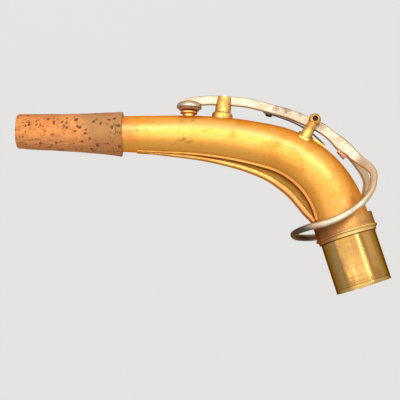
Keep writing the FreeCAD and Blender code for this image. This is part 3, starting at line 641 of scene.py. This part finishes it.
def makeNeckTube():
    start, lip, wall = tube["start"], tube["lip"], neckLine["wall"]
    count = math.ceil((neckLength - start) / tube["step"])
    places = [start + (neckLength - start) * i / count for i in range(count + 1)]
    mouthRadius = skinRadius(neckLength)
    outer = [acrossMatrix(s, skinRadius(s)) for s in places[:-1]]
    outer.append(acrossMatrix(neckLength - lip, mouthRadius))
    rim = [acrossMatrix(neckLength, mouthRadius - lip),
           acrossMatrix(neckLength, mouthRadius - wall + lip / 2)]
    inner = [acrossMatrix(s, skinRadius(s) - wall) for s in places[::-2]]
    inner[0] = acrossMatrix(neckLength - lip, mouthRadius - wall)
    inner.append(acrossMatrix(start, skinRadius(start) - wall))
    if (inner[-1].translation - inner[-2].translation).length < tube["leastStep"]:
        inner.pop(-2)
    bm = sweptShell(tube["segments"], outer + rim + inner)
    for layer in ("paintedHighlight", "under"):
        bm.verts.layers.float.new(layer)
    paintedHighlight, under = [bm.verts.layers.float[layer] for layer in ("paintedHighlight", "under")]
    for vert in bm.verts:
        away = vert.normal.dot(outward(turnBeside(vert.co)))
        # painted shade on the side that turns to the inside of the bend
        vert[under] = clamped(-tube["underFrom"] - away)
        # a painted highlight line along the near side of the tube, fading out towards the collar
        middle = blended(tube["paintedHighlightPlaces"], vert.co.x)
        vert[paintedHighlight] = (math.exp(-((away - middle) / tube["paintedHighlightWidth"]) ** 2)
                       * clamped(tube["paintedHighlightSide"] - tube["paintedHighlightTurn"] * vert.normal.y)
                       * clamped((vert.co.z - tube["paintedHighlightFrom"]) / tube["paintedHighlightEase"]))
    wobble(bm, tube["waviness"], tube["waveSize"])
    return bm


finishPiece("neckTubeBody", makeNeckTube(), lacquerBrass, "neck", ("neck_tube",))

# tenon and collar, turned and softened alike at their edges
tenon = {"radius": 12.25, "length": 22.0, "wall": 0.95, "relief": 0.3, "spigot": 12.0, "socket": 4.4,
         "segments": 128, "edgeRound": 0.28, "edgeSteps": 3, "edgeAngle": 30}
collar = {"lip": 12.95, "lipTop": 1.6, "bead": 13.85, "beadTop": 2.9, "beadFoot": 13.2, "top": 13.25,
          "height": 8.2, "bore": 12.0, "boreTaper": 0.2, "segments": 128, "edgeAngle": 50,
          "beadRound": 0.62, "beadSteps": 6, "beadAngle": 57, "beadSlack": 0.01}


def makeTenon():
    inner = tenon["radius"] - tenon["wall"]
    bm = lathe([(inner, -tenon["length"]), (tenon["radius"], -tenon["length"]), (tenon["radius"], 0),
                (tenon["spigot"], 0), (tenon["spigot"], tenon["socket"]), (inner, tenon["socket"])],
               tenon["segments"])
    roundEdges(bm, sharpEdges(bm, tenon["edgeAngle"]), tenon["edgeRound"], tenon["edgeSteps"])
    return bm


def makeCollar():
    bm = lathe([(collar["bore"], tenon["relief"]), (collar["lip"], tenon["relief"]),
                (collar["lip"], collar["lipTop"]), (collar["bead"], collar["lipTop"]),
                (collar["bead"], collar["beadTop"]), (collar["beadFoot"], collar["beadTop"]),
                (collar["top"], collar["height"]),
                (collar["bore"] - collar["boreTaper"], collar["height"])],
               collar["segments"])
    rims = [edge for edge in sharpEdges(bm, collar["beadAngle"])
            if all(abs(vert.co.xy.length - collar["bead"]) < collar["beadSlack"] for vert in edge.verts)]
    roundEdges(bm, rims, collar["beadRound"], collar["beadSteps"])
    roundEdges(bm, sharpEdges(bm, collar["edgeAngle"]), tenon["edgeRound"], tenon["edgeSteps"])
    return bm


finishPiece("tenonBody", makeTenon(), tenonBrass, "neck", ("tenon_tube",))
finishPiece("collarBody", makeCollar(), collarBrass, "neck", ("tenon_collar",))
print("tube, tenon and collar made")

# cork sleeve, bulged, with a scarfed seam and worn corners
cork = {"length": 46.6, "overhang": 0.5, "mouth": 1.4, "middle": 1.25, "back": 1.85, "glue": 0.03,
        "segments": 160, "rings": 110, "corner": 0.5, "cornerTurns": (30, 60, 90), "backRound": 0.25,
        "backRun": 0.2, "skinSlack": 0.4, "roughSize": 2.2, "roughFractal": (0.6, 2.0, 4),
        "roughDepth": 0.06, "roughGain": 0.08, "seamAngle": math.radians(-134), "seamDepth": 0.2,
        "seamWidth": 0.3, "seamEase": 3.0, "seamStep": 0.6, "wornCorner": (-126.0, -2.0, 80.6),
        "wornReach": 5.5, "wornDepth": 1.0, "wornRough": 0.6, "flare": 0.55, "flareReach": 2.6,
        "flareTurn": 0.35, "smoothAngle": 60}
corkFoot = neckLength + cork["overhang"] - cork["length"]


def corkThickness(share):
    return blended(((0.0, cork["back"]), (0.5, cork["middle"]), (1.0, cork["mouth"])), share)


def corkSections():
    # out over the sleeve from its foot to its rounded mouth, between two places on the glue
    def section(station, thickness):
        return acrossMatrix(station, skinRadius(station) + thickness)

    inner = [section(corkFoot + cork["length"] * share, cork["glue"]) for share in (0.0, 1.0)]
    sections = [inner[0], section(corkFoot, cork["back"] - cork["backRound"])]
    corner, backRun = cork["corner"], cork["backRun"]
    for index in range(cork["rings"] + 1):
        run = backRun + (cork["length"] - backRun - corner) * index / cork["rings"]
        sections.append(section(corkFoot + run, corkThickness(run / cork["length"])))
    for turn in cork["cornerTurns"]:
        drop = corner * (1 - math.cos(math.radians(turn)))
        station = corkFoot + cork["length"] - corner + corner * math.sin(math.radians(turn))
        sections.append(section(station, cork["mouth"] - drop))
    return sections + [inner[1]]


def makeCork():
    bm = sweptShell(cork["segments"], corkSections())
    halfway = corkFoot + cork["length"] / 2
    middle, turn = centreAt(halfway)
    axis = along(turn)
    for vert in bm.verts:
        offset = vert.co - middle
        run = offset.dot(axis)
        spoke = offset - axis * run
        if spoke.length < skinRadius(halfway + run) + cork["skinSlack"]:
            continue
        rough = noise.fractal(vert.co / cork["roughSize"], *cork["roughFractal"])
        inset = max(0.0, cork["roughDepth"] + cork["roughGain"] * rough)
        angle = math.atan2(spoke.y, spoke.dot(outward(turn)))
        past = (angle - cork["seamAngle"]) * spoke.length
        inset += cork["seamDepth"] * math.exp(-(past / cork["seamWidth"]) ** 2)
        if 0 < past < cork["seamEase"]:
            inset += cork["seamDepth"] * cork["seamStep"] * (1 - past / cork["seamEase"])
        worn = max(0.0, 1 - (vert.co - Vector(cork["wornCorner"])).length / cork["wornReach"])
        inset += cork["wornDepth"] * worn * (1 + cork["wornRough"] * rough)
        low = max(0.0, -math.cos(angle - cork["flareTurn"]))
        inset -= cork["flare"] * low * math.exp(-(run + cork["length"] / 2) / cork["flareReach"])
        vert.co -= spoke.normalized() * inset
    return bm


finishPiece("corkSleeve", makeCork(), sleeveCork, "neck", ("neck_cork",), cork["smoothAngle"])
print("cork made")

# under brace; a section is (corner, corner steps, how shaded it lies)
brace = {"start": 11.2, "end": 115.0, "peak": 0.27, "railWidth": 6.0, "railDepth": 2.4, "railTip": 0.42,
         "webWidth": 3.8, "webSink": 1.7, "footWidth": 9.2, "footTip": 0.62, "footRise": 0.28,
         "footSink": 1.2, "steps": 90, "railSection": (0.24, 4, 0.0), "webSection": (0.06, 2, 1.0),
         "footSection": (0.12, 3, 0.45),
         "depths": ((0.0, 1.7), (0.03, 3.0), (0.06, 3.95), (0.09, 4.5), (0.135, 5.05), (0.19, 5.28),
                    (0.25, 5.38), (0.31, 5.3), (0.37, 4.8), (0.42, 4.25), (0.47, 3.55), (0.54, 2.85),
                    (0.62, 2.3), (0.71, 1.72), (0.81, 1.22), (0.90, 0.65), (1.0, 0.12))}


def braceMatrix(share, top, bottom, width):
    # a section hung under the tube between two depths
    station = brace["start"] + (brace["end"] - brace["start"]) * share
    point, turn = centreAt(station)
    middle = point - outward(turn) * (skinRadius(station) + (top + bottom) / 2)
    return neckMatrix(station, middle) @ Matrix.Diagonal((bottom - top, width, 1, 1))


def bracePart(matrices, corner, segments, shade):
    part = sweptPiece(lambda bm: roundedLoop(bm, corner, segments), matrices)
    # painted shade: how dark each part of the brace is tinted, most in the web
    under = part.verts.layers.float.new("under")
    for vert in part.verts:
        vert[under] = shade
    return part


def makeBrace():
    rail, web, foot = [], [], []
    for index in range(brace["steps"] + 1):
        share = index / brace["steps"]
        depth = blended(brace["depths"], share)
        past = max(0.0, share - brace["peak"]) / (1 - brace["peak"])
        slim = 1 - (1 - brace["railTip"]) * past
        footSlim = 1 - (1 - brace["footTip"]) * past
        thick = brace["railDepth"] * slim
        rail.append(braceMatrix(share, depth - thick, depth, brace["railWidth"] * slim))
        web.append(braceMatrix(share, -brace["webSink"], max(depth - thick / 2, -brace["footSink"]),
                               brace["webWidth"] * slim))
        foot.append(braceMatrix(share, -brace["footSink"], brace["footRise"] * slim,
                                brace["footWidth"] * footSlim))
    return joined(bracePart(rail, *brace["railSection"]), bracePart(web, *brace["webSection"]),
                  bracePart(foot, *brace["footSection"]))


finishPiece("braceBody", makeBrace(), braceBrass, "neck", ("under_brace",))
print("brace made")

# pieces that keep their CAD form
for node in ("octave_pip", "guide_post", "key_saddle", "near_post", "far_post"):
    carryOver(node, postBrass, "neck")
carryOver("hinge_rod", darkSteel, "neck")
for node, material, slot in (("hinge_tube", nickelSilver, "nickel_silver"),
                             ("pad_cup", nickelSilver, "nickel_silver"),
                             ("pad_skin", padLeather, "leather"), ("pad_felt", padFelt, "felt"),
                             ("pad_card", padBoard, "pad_board"), ("pad_cement", padGlue, "pad_glue"),
                             ("rear_bumper", bumperCork, "cork"),
                             ("flat_spring", springSteel, "spring_steel"),
                             ("spring_screw", darkSteel, "steel")):
    carryOver(node, material, "octave_key")
print("posts, pad and small pieces dressed")

# arms of the octave key; each table runs from the hinge to past the end of the arm
arm = {"height": 4.2, "thickness": 2.3, "frontRise": 7.9, "rearRise": 6.5, "parting": 0.3,
       "steps": 60, "around": 40, "crown": 4.5, "rootRise": 1.005,
       "frontStations": (0.0, 0.13, 0.30, 0.50, 0.68, 0.82, 0.90, 0.96, 1.05),
       "frontRises": (0.78, 0.83, 0.89, 1.0, 0.98, 0.94, 0.895, 0.915, 0.875),
       "frontHeights": (1.05, 1.05, 1.0, 1.0, 1.0, 1.0, 0.95, 0.63, 0.34),
       "frontThicks": (1.0, 1.0, 1.0, 1.0, 1.0, 1.0, 1.0, 0.95, 0.75),
       "rearStations": (0.0, 0.2, 0.45, 0.72, 1.0, 1.12, 1.22),
       "rearRises": (0.98, 1.03, 0.985, 0.95, 1.005, 1.02, 1.04),
       "rearHeights": (1.05, 1.12, 1.12, 1.4, 1.2, 0.85, 0.4),
       "rearThicks": (1.0, 1.0, 1.1, 1.5, 1.9, 1.8, 1.3)}


def makeStrap(end, first, last):
    # a crowned strap over the neck, at the front or rear end of the key
    shares = arm[end + "Stations"]
    tables = [tuple(zip(shares, arm[end + values])) for values in ("Rises", "Heights", "Thicks")]
    matrices = []
    for index in range(arm["steps"] + 1):
        share = shares[-1] * index / arm["steps"]
        rise, height, thick = [blended(table, share) for table in tables]
        station = first + (last - first) * share
        middle = overSkin(station, arm[end + "Rise"] * rise)
        matrices.append(neckMatrix(station, middle)
                        @ Matrix.Diagonal((arm["height"] * height, arm["thickness"] * thick, 1, 1)))
    return sweptPiece(lambda bm: crownedLoop(bm, arm["crown"], arm["around"]), matrices)


front = makeStrap("front", stations["hinge"] + arm["parting"], stations["pip"])
finishPiece("frontArmBody", front, nickelSilver, "octave_key", ("front_arm",))

# rear arm and ring, one forging; a row of the ring's shares is (reach, width, height)
ring = {"rootSpread": 1.05, "back": 17.3, "front": 22.5, "halfWidth": 16.6, "elbowHeight": 21.9,
        "frontHeight": 8.7, "rootHeight": 4.9, "backHeight": 3.5, "frontThick": 2.2,
        "lean": math.radians(3.8), "twist": math.radians(2.5), "settle": 0.25, "oval": 1.05, "steps": 180,
        "around": 32, "flat": 2.9, "rounding": 0.22, "glance": 0.002, "crotch": ((0.3, 0.7), (0.62, 2.3)),
        "shares": ((0.98, 0.37, 0.35), (1.0, 0.56, 0.0), (0.74, 0.81, -0.55), (0.25, 0.975, -0.955),
                   (-0.30, 0.995, -1.15), (-0.80, 0.66, -1.055)),
        "thicks": ((0.0, 2.3), (0.3, 2.4), (0.55, 3.0), (0.78, 2.9), (1.0, 2.3)),
        "focuses": ((0.0, 21.9), (0.25, 21.9), (0.55, 8.0), (1.0, 8.7)),
        "meltSize": 0.0002, "ease": 0.5, "easeRounds": 12}


def ringHalf(side):
    # the places that the ring passes on one side, from its root at the arm to its front
    points = [overSkin(stations["ringRoot"], arm["rearRise"] * arm["rootRise"], side * ring["rootSpread"])]
    for reachShare, widthShare, heightShare in ring["shares"]:
        reach = ring["back"] if reachShare > 0 else ring["front"]
        width = side * ring["halfWidth"] * widthShare
        height = ring["elbowHeight"] + (ring["elbowHeight"] - ring["frontHeight"]) * heightShare
        points.append(Vector((reach * reachShare - width * math.tan(ring["twist"]), width,
                              height - width * math.tan(ring["lean"]))))
    root, elbow = points[0], points[1]
    for index, (share, spread) in enumerate(ring["crotch"]):
        easing = root.lerp(elbow, share)
        easing.y = side * (ring["rootSpread"] + spread)
        points.insert(1 + index, easing)
    return points


def fromRoot(share):
    # 0 at either root of the ring and 1 at its front
    return 1 - abs(2 * share - 1)


def makeRing():
    points = ringHalf(-1) + [Vector((-ring["front"], 0, ring["frontHeight"]))] + ringHalf(1)[::-1]
    spans = [0.0]
    for start, end in zip(points, points[1:]):
        spans.append(spans[-1] + (end - start).length)
    tables = [tuple((span / spans[-1], point[axis]) for span, point in zip(spans, points))
              for axis in range(3)]

    def pointAt(share):
        return Vector([blended(table, share) for table in tables])

    matrices = []
    for index in range(ring["steps"] + 1):
        share = index / ring["steps"]
        part = fromRoot(share)
        here = pointAt(share)
        ahead, behind = pointAt(min(share + ring["glance"], 1.0)), pointAt(max(share - ring["glance"], 0.0))
        heading = (ahead - behind).normalized()
        inward = Vector((0, 0, blended(ring["focuses"], part))) - here
        inward = (inward - heading * inward.dot(heading)).normalized()
        settled = min(1.0, part / ring["settle"])
        height = ring["rootHeight"] + (ring["backHeight"] - ring["rootHeight"]) * settled
        height += (ring["frontThick"] * ring["oval"] - height) * part
        turned = axesMatrix(inward, heading.cross(inward), heading, here)
        matrices.append(turned @ Matrix.Diagonal((height / 2, blended(ring["thicks"], part) / 2, 1, 1)))
    bm = sweptPiece(lambda bm: circleLoop(bm, ring["around"]), matrices)
    for index, vert in enumerate(bm.verts):
        section = index // ring["around"]
        part = fromRoot(section / ring["steps"])
        power = ring["flat"] + (arm["crown"] - ring["flat"]) * max(0.0, 1 - part / ring["rounding"])
        local = matrices[section].inverted() @ vert.co
        for axis in (0, 1):
            local[axis] = squared(local[axis], power)
        vert.co = matrices[section] @ local
    return bm


rear = makeStrap("rear", stations["hinge"] - arm["parting"], stations["ringRoot"])
fork = finishPiece("rearArmAndRing", joined(rear, makeRing()), nickelSilver, "octave_key",
                   ("rear_arm", "key_ring"))
melt = fork.modifiers.new("melt", "REMESH")
melt.mode = "VOXEL"
melt.voxel_size = ring["meltSize"]
melt.use_smooth_shade = True
ease = fork.modifiers.new("ease", "SMOOTH")
ease.factor = ring["ease"]
ease.iterations = ring["easeRounds"]
print("arms and ring made")

# studio: a pale sweep and a pale world
studio = {"floorHeight": -0.22, "halfWidth": 4.0, "wallY": 1.9, "wallHeight": 3.0, "bend": 0.6,
          "bendSteps": 12, "colour": (0.80, 0.79, 0.77), "roughness": 0.9, "seen": (0.78, 0.775, 0.765),
          "evenness": 0.94, "world": (0.74, 0.76, 0.80), "worldStrength": 0.48, "worldSeen": 1.0}


def seenRays(tree):
    # 1 for rays that show the background: straight, mirrored or through glass
    rays = addNode(tree, "LightPath").outputs
    mirrored = math2(tree, "MAXIMUM", rays["Is Camera Ray"], rays["Is Glossy Ray"])
    return math2(tree, "MAXIMUM", mirrored, rays["Is Transmission Ray"])


def paperMaterial():
    # lit paper that shows its own even colour to the camera and in the metal
    material, tree, shader = newMaterial("studioPaper")[:3]
    shader.inputs["Base Color"].default_value = (*studio["colour"], 1)
    shader.inputs["Roughness"].default_value = studio["roughness"]
    plain = addNode(tree, "Emission", [("Color", (*studio["seen"], 1))])
    factor = math2(tree, "MULTIPLY", seenRays(tree), studio["evenness"])
    paper = addNode(tree, "MixShader", [(0, factor), (1, shader.outputs[0]), (2, plain.outputs[0])])
    output = next(node for node in tree.nodes if node.type == "OUTPUT_MATERIAL")
    tree.links.new(paper.outputs[0], output.inputs[0])
    return material


def makeStudio():
    bend = studio["bend"]
    path = [(-studio["halfWidth"], studio["floorHeight"])]
    for step in range(studio["bendSteps"] + 1):
        angle = math.radians(90 * step / studio["bendSteps"])
        path.append((studio["wallY"] - bend + bend * math.sin(angle),
                     studio["floorHeight"] + bend * (1 - math.cos(angle))))
    path.append((studio["wallY"], studio["wallHeight"]))
    bm = bmesh.new()
    verts = [bm.verts.new((-studio["halfWidth"], y, z)) for y, z in path]
    edges = [bm.edges.new(pair) for pair in zip(verts, verts[1:])]
    grown = bmesh.ops.extrude_edge_only(bm, edges=edges)["geom"]
    bmesh.ops.translate(bm, vec=(2 * studio["halfWidth"], 0, 0),
                        verts=[item for item in grown if isinstance(item, bmesh.types.BMVert)])
    for face in bm.faces:
        face.smooth = True
    mesh = bpy.data.meshes.new("studioSweep")
    bm.to_mesh(mesh)
    bm.free()
    mesh.materials.append(paperMaterial())
    floor = bpy.data.objects.new("studioSweep", mesh)
    bpy.context.collection.objects.link(floor)


def makeWorld():
    world = bpy.data.worlds.new("paleRoom")
    world.use_nodes = True
    tree = world.node_tree
    back = tree.nodes["Background"]
    back.inputs["Color"].default_value = (*studio["world"], 1)
    seen = math2(tree, "MULTIPLY", seenRays(tree), studio["worldSeen"] - studio["worldStrength"])
    tree.links.new(math2(tree, "ADD", seen, studio["worldStrength"]), back.inputs["Strength"])
    bpy.context.scene.world = world


# seven soft lamps: name, place, what it faces, its sides, watts, colour and spread
partMiddle = (-0.055, 0.0, 0.045)
softWhite = (1.0, 0.97, 0.93)
lamps = (("softPanel", (-0.34, -1.10, 0.36), partMiddle, (3.0, 1.4), 13.5, softWhite, 180),
         ("keyLamp", (-0.12, -0.82, 0.55), partMiddle, (0.6, 0.22), 1.4, (1.0, 0.96, 0.90), 180),
         ("stripLamp", (0.45, -0.85, 0.25), (0.0, 0.0, 0.0), (0.05, 0.9), 2.0, (1.0, 0.97, 0.92), 180),
         ("topLamp", (0.10, 0.25, 1.00), partMiddle, (1.2, 0.8), 1.1, softWhite, 180),
         ("endLamp", (1.25, -0.45, 0.35), partMiddle, (0.9, 0.9), 1.2, softWhite, 180),
         ("lowFill", (-0.15, -0.75, -0.19), partMiddle, (1.8, 0.5), 3.3, softWhite, 180),
         ("wallLamp", (0.0, 0.75, 1.6), (0.0, 1.9, 0.5), (2.2, 0.5), 10.5, (1.0, 0.99, 0.97), 150))


def makeLamp(name, location, target, size, power, colour, spread):
    data = bpy.data.lights.new(name, "AREA")
    data.shape = "RECTANGLE"
    data.size, data.size_y = size
    data.energy = power
    data.color = colour
    data.spread = math.radians(spread)
    lamp = bpy.data.objects.new(name, data)
    lamp.location = location
    lamp.rotation_euler = (Vector(target) - Vector(location)).to_track_quat("-Z", "Y").to_euler()
    lamp.visible_camera = False
    bpy.context.collection.objects.link(lamp)


makeStudio()
for lamp in lamps:
    makeLamp(*lamp)
makeWorld()

# camera at the photograph's angle
camera = {"place": (-0.078234, -0.487112, -0.034366), "right": (0.955544, 0.000387, -0.294847),
          "up": (0.291663, -0.147808, 0.945032), "back": (-0.043215, -0.989016, -0.141350),
          "lens": 100.903, "sensor": 36.0, "clipStart": 0.01, "clipEnd": 20.0}
cameraData = bpy.data.cameras.new("photoCamera")
cameraData.lens = camera["lens"]
cameraData.sensor_width = camera["sensor"]
cameraData.clip_start = camera["clipStart"]
cameraData.clip_end = camera["clipEnd"]
photoCamera = bpy.data.objects.new("photoCamera", cameraData)
bpy.context.collection.objects.link(photoCamera)
photoCamera.matrix_world = axesMatrix(Vector(camera["right"]), Vector(camera["up"]), Vector(camera["back"]),
                                      Vector(camera["place"]))
bpy.context.scene.camera = photoCamera
bpy.context.scene.view_settings.view_transform = "Standard"
print("studio and camera set")

bpy.context.view_layer.update()
